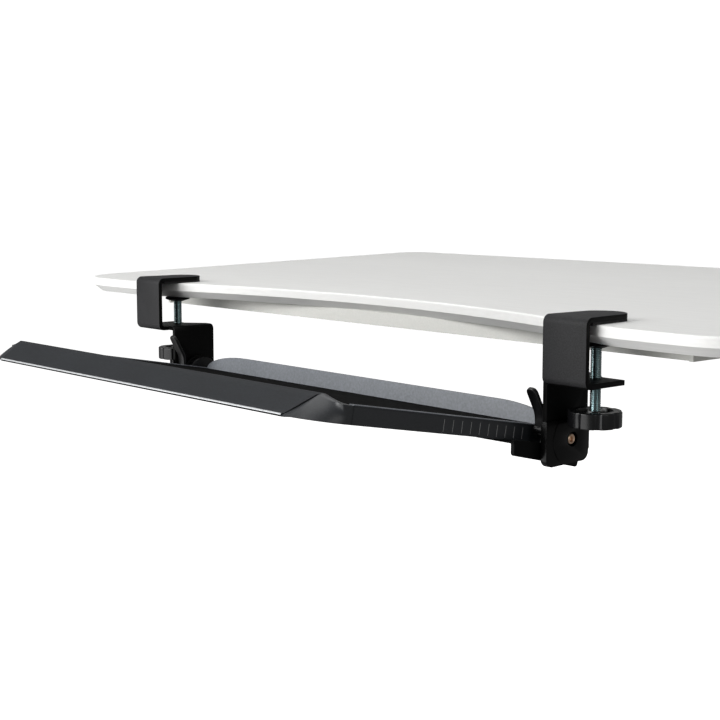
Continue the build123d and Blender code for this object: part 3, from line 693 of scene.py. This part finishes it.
# ---------------------------------------------------------------- tick marks on the skirt
def tick_tree():
    """A row of thin upright marks, evenly spaced."""
    tree, given = start_tree(
        "tick_row",
        [
            ("Count", "NodeSocketInt"),
            ("Spacing", "NodeSocketVector"),
            ("Start", "NodeSocketVector"),
            ("Mark size", "NodeSocketVector"),
            ("Lean", "NodeSocketRotation"),
        ],
    )
    line = add(
        tree,
        "GeometryNodeMeshLine",
        {
            "Count": given.outputs["Count"],
            "Start Location": given.outputs["Start"],
            "Offset": given.outputs["Spacing"],
        },
    )
    mark = add(tree, "GeometryNodeMeshCube", {"Size": given.outputs["Mark size"]})
    row = add(
        tree,
        "GeometryNodeInstanceOnPoints",
        {
            "Points": line.outputs["Mesh"],
            "Instance": mark.outputs["Mesh"],
            "Rotation": given.outputs["Lean"],
        },
    )
    end_tree(tree, row.outputs[0], tick_ink)
    return tree


tick_row = tick_tree()
TICKS, TICK_PITCH, FIRST_TICK_S, TICK_N = 10, 10.6, 40.9, -0.6
TICK_DEEP, TICK_WIDE, TICK_TALL = 0.24, 0.55, 10.2
tray_lean = Matrix((Vector((1, 0, 0)), -forward, upward)).transposed().to_euler()
for hand, sign in (("left", -1), ("right", 1)):
    start = on_tray(sign * SKIRT_X, FIRST_TICK_S, TICK_N)
    mesh = grown(
        "slide_ticks_" + hand,
        tick_row,
        {
            "Count": TICKS,
            "Spacing": forward * (TICK_PITCH * MM),
            "Start": start,
            "Mark size": (TICK_DEEP * MM, TICK_WIDE * MM, TICK_TALL * MM),
            "Lean": tray_lean,
        },
    )
    finished("slide_ticks_" + hand, mesh, "tray", [], [tick_ink])

# ---------------------------------------------------------------- rounded copies of CAD pieces
LEAF_TOP = -17 * MM
WEB_FOOT = -22 * MM
FACING = 0.7
for node, body, slot_name, width in (
    ("clamp_body", "desk", "clamp_coat", 0.5),
    ("pivot_cover", "desk", "cover_plastic", 0.45),
    ("arm", "arms", "clamp_coat", 0.35),
    ("clamp_knob", "screw_{hand}", "knob_plastic", 1.0),
):
    for hand in ("left", "right"):
        name = f"{node}_{hand}"
        shell = softened(name, width)
        for face in shell.polygons:
            # Faces turned sideways take the near-black coat as painted shade; the leaf and flange
            # below the web take it as their own colour.
            on_web = face.normal.y < -FACING and face.center.z > WEB_FOOT
            leaf_and_painted_side_shade = abs(face.normal.x) > FACING or (face.center.z < LEAF_TOP and not on_web)
            face.material_index = int(node == "clamp_body" and leaf_and_painted_side_shade)
        finished(
            f"{name}_shell",
            shell,
            body.format(hand=hand),
            [name],
            [finish_of(name), near_black_coat_and_side_shade],
        )

# ---------------------------------------------------------------- tilt levers
LEVER_INNER, LEVER_OUTER, HUB_W = 266.9, 278.6, 6.5
BLADE_HALF_T, BLADE_BEND, TIP_ROUND = 2.0, 5.0, 2.4
# Points of a lever behind and above its pivot.
HUB_EDGE, BLADE_ROOT = Vector((-14, 5)), Vector((-25.3, 8.8))
BLADE_KNEE, BLADE_TIP = Vector((-25.3, 22.7)), Vector((-37.5, 45.3))
BARREL_R, HUB_R, TURNED_EDGE = 4.0, 20.0, 0.8


def lever_mesh(side):
    """A flat blade bent over a barrel, round at its tip, on the hub that turns on the bolt."""
    shape = bmesh.new()
    inner, outer, half_t, bend = LEVER_INNER, LEVER_OUTER, BLADE_HALF_T, BLADE_BEND
    root, knee, tip = BLADE_ROOT, BLADE_KNEE, BLADE_TIP
    middle, half_w = (inner + outer) / 2, (outer - inner) / 2
    length_high = (tip - knee).length + half_t
    up_dir = (tip - knee).normalized()
    stations = []
    for step in range(4):
        stations.append((root.lerp(knee - Vector((0, bend)), step / 4), Vector((0, 1))))
    for step in range(7):
        q = step / 6
        start, end = knee - Vector((0, bend)), knee + up_dir * bend
        point = start.lerp(knee, q).lerp(knee.lerp(end, q), q)
        stations.append((point, Vector((0, 1)).lerp(up_dir, q).normalized()))
    for step in range(1, 18):
        q = 1 - (1 - step / 17) ** 1.8
        stations.append(((knee + up_dir * bend).lerp(knee + up_dir * length_high, q), up_dir))
    end_point = knee + up_dir * length_high
    rings = []
    for point, along in stations:
        left = (end_point - point).length if point.y > knee.y else 99
        round_w = half_w * math.sqrt(max(0.0, 1 - max(0.0, 1 - left / half_w) ** 2))
        round_t = half_t * min(1.0, math.sqrt(max(0.0, 1 - max(0.0, 1 - left / TIP_ROUND) ** 2)))
        round_w, round_t = max(round_w, 0.05), max(round_t, 0.05)
        across = Vector((along.y, -along.x))
        ring = []
        for k in range(24):
            turn = k / 24 * math.tau
            cx = abs(math.cos(turn)) ** 0.35 * math.copysign(1, math.cos(turn))
            cy = abs(math.sin(turn)) ** 0.6 * math.copysign(1, math.sin(turn))
            flat = point + across * (cy * round_t)
            x = side * (middle + cx * round_w)
            ring.append(Vector((x * MM, pivot.y + flat.x * MM, pivot.z + flat.y * MM)))
        rings.append(ring)
    skin(shape, rings)

    def lathe(centre, steps, count):
        skin(
            shape,
            [
                [
                    Vector(
                        (
                            side * x * MM,
                            pivot.y + (centre[0] + r * math.cos(k / count * math.tau)) * MM,
                            pivot.z + (centre[1] + r * math.sin(k / count * math.tau)) * MM,
                        )
                    )
                    for k in range(count)
                ]
                for x, r in steps
            ],
        )

    for centre, radius, width, count in (
        (root, BARREL_R, outer - inner, 28),
        ((0, 0), HUB_R, HUB_W, 40),
    ):
        lathe(
            centre,
            [
                (inner, radius - TURNED_EDGE),
                (inner + TURNED_EDGE, radius),
                (inner + width - TURNED_EDGE, radius),
                (inner + width, radius - TURNED_EDGE),
            ],
            count,
        )
    # The web from the hub to the barrel.
    along = (root - HUB_EDGE).normalized()
    across = Vector((-along.y, along.x)) * half_t
    rings = []
    for end in (HUB_EDGE, root):
        ring = []
        for x, o in ((inner, -1), (inner + HUB_W, -1), (inner + HUB_W, 1), (inner, 1)):
            spot = end + across * o
            ring.append(Vector((side * x * MM, pivot.y + spot.x * MM, pivot.z + spot.y * MM)))
        rings.append(ring)
    skin(shape, rings)
    return to_mesh("tilt_lever", shape, 40)


for hand, sign in (("left", -1), ("right", 1)):
    finished(
        "tilt_lever_" + hand,
        lever_mesh(sign),
        "lever_" + hand,
        ["lever_" + hand],
        [lever_abs],
    )

# ---------------------------------------------------------------- pivot bolts: a hollow turned end
def bolt_mesh(side):
    """A turned bolt whose end is a hollow rivet with a rolled lip."""
    low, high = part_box("pivot_bolt_right")
    start, end = low.x / MM, high.x / MM
    profile = [
        (start, 3.2),
        (start + 0.8, 4.0),
        (end - 2.5, 4.0),
        (end - 2.5, 4.4),
        (end - 1.1, 4.6),
        (end - 0.3, 4.3),
        (end, 3.7),
        (end - 0.2, 2.9),
        (end - 0.7, 2.4),
        (end - 2.2, 2.2),
    ]
    shape = bmesh.new()
    skin(
        shape,
        [
            [
                Vector(
                    (
                        side * x * MM,
                        pivot.y + r * MM * math.cos(k / 40 * math.tau),
                        pivot.z + r * MM * math.sin(k / 40 * math.tau),
                    )
                )
                for k in range(40)
            ]
            for x, r in profile
        ],
    )
    return to_mesh("pivot_bolt_turned", shape, 40)


for hand, sign in (("left", -1), ("right", 1)):
    finished(
        "pivot_bolt_turned_" + hand,
        bolt_mesh(sign),
        "desk",
        ["pivot_bolt_" + hand],
        [turned_brass],
    )

# ---------------------------------------------------------------- studio
def stage_plane(name, size, centre, colour, glow):
    mesh = bpy.data.meshes.new(name)
    half = size / 2
    corners = [(-half, -half, 0), (half, -half, 0), (half, half, 0), (-half, half, 0)]
    mesh.from_pydata(corners, [], [(0, 1, 2, 3)])
    thing = bpy.data.objects.new(name, mesh)
    scene.collection.objects.link(thing)
    thing.location = centre
    material = bpy.data.materials.new(name)
    material.use_nodes = True
    tree = material.node_tree
    tree.nodes.clear()
    shader = add(
        tree,
        "ShaderNodeBsdfPrincipled",
        {
            "Base Color": linear(colour),
            "Roughness": 0.9,
            "Emission Color": linear("FFFFFF"),
            "Emission Strength": glow,
        },
    )
    add(tree, "ShaderNodeOutputMaterial", {"Surface": shader.outputs[0]})
    mesh.materials.append(material)
    return thing


FLOOR_Z = -0.70
BACKDROP_R = 32
floor = stage_plane("studio_floor", 60, (0, 0, FLOOR_Z), "F4F4F2", 0.85)
backdrop = stage_plane("studio_backdrop", 1, (0, 0, 0), "FFFFFF", 1.2)
dome = bmesh.new()
bmesh.ops.create_uvsphere(dome, u_segments=48, v_segments=24, radius=BACKDROP_R)
bmesh.ops.reverse_faces(dome, faces=dome.faces)
dome.to_mesh(backdrop.data)
dome.free()
for surround in (floor, backdrop):
    surround.visible_diffuse = False
    surround.visible_glossy = False
    surround.visible_shadow = False

world = bpy.data.worlds.new("studio_air")
scene.world = world
world.use_nodes = True
world.node_tree.nodes.clear()
air = add(world.node_tree, "ShaderNodeBackground", {"Color": linear("FFFFFF"), "Strength": 0.24})
add(world.node_tree, "ShaderNodeOutputWorld", {"Surface": air.outputs[0]})


def softbox(name, size, place, aim, watts):
    light = bpy.data.lights.new(name, "AREA")
    light.shape = "RECTANGLE"
    light.size, light.size_y = size
    light.energy = watts
    thing = bpy.data.objects.new(name, light)
    scene.collection.objects.link(thing)
    thing.location = place
    thing.rotation_euler = (Vector(aim) - Vector(place)).to_track_quat("-Z", "Y").to_euler()
    thing.visible_camera = False
    return thing


softbox("overhead_softbox", (2.4, 2.4), (-0.3, 0.2, 2.4), (0, 0, 0), 41)
softbox("front_softbox", (2.2, 1.6), (-0.9, -2.6, 1.0), (0, -0.3, 0), 75)
softbox("floor_bounce", (2.4, 1.6), (-0.5, -1.9, -0.65), (0, -0.3, 0), 24)
softbox("side_strip", (0.6, 1.5), (2.0, -0.5, 0.7), (0.3, -0.35, 0), 6)

camera = bpy.data.objects.new("camera", bpy.data.cameras.new("camera"))
scene.collection.objects.link(camera)
camera.data.sensor_width = 36
camera.data.lens = 71.34
camera.location = (1.08224, -1.28241, 0.14678)
camera.rotation_euler = (math.radians(90 - 7.12), 0, math.radians(48.942))
scene.camera = camera
scene.view_settings.view_transform = "Standard"
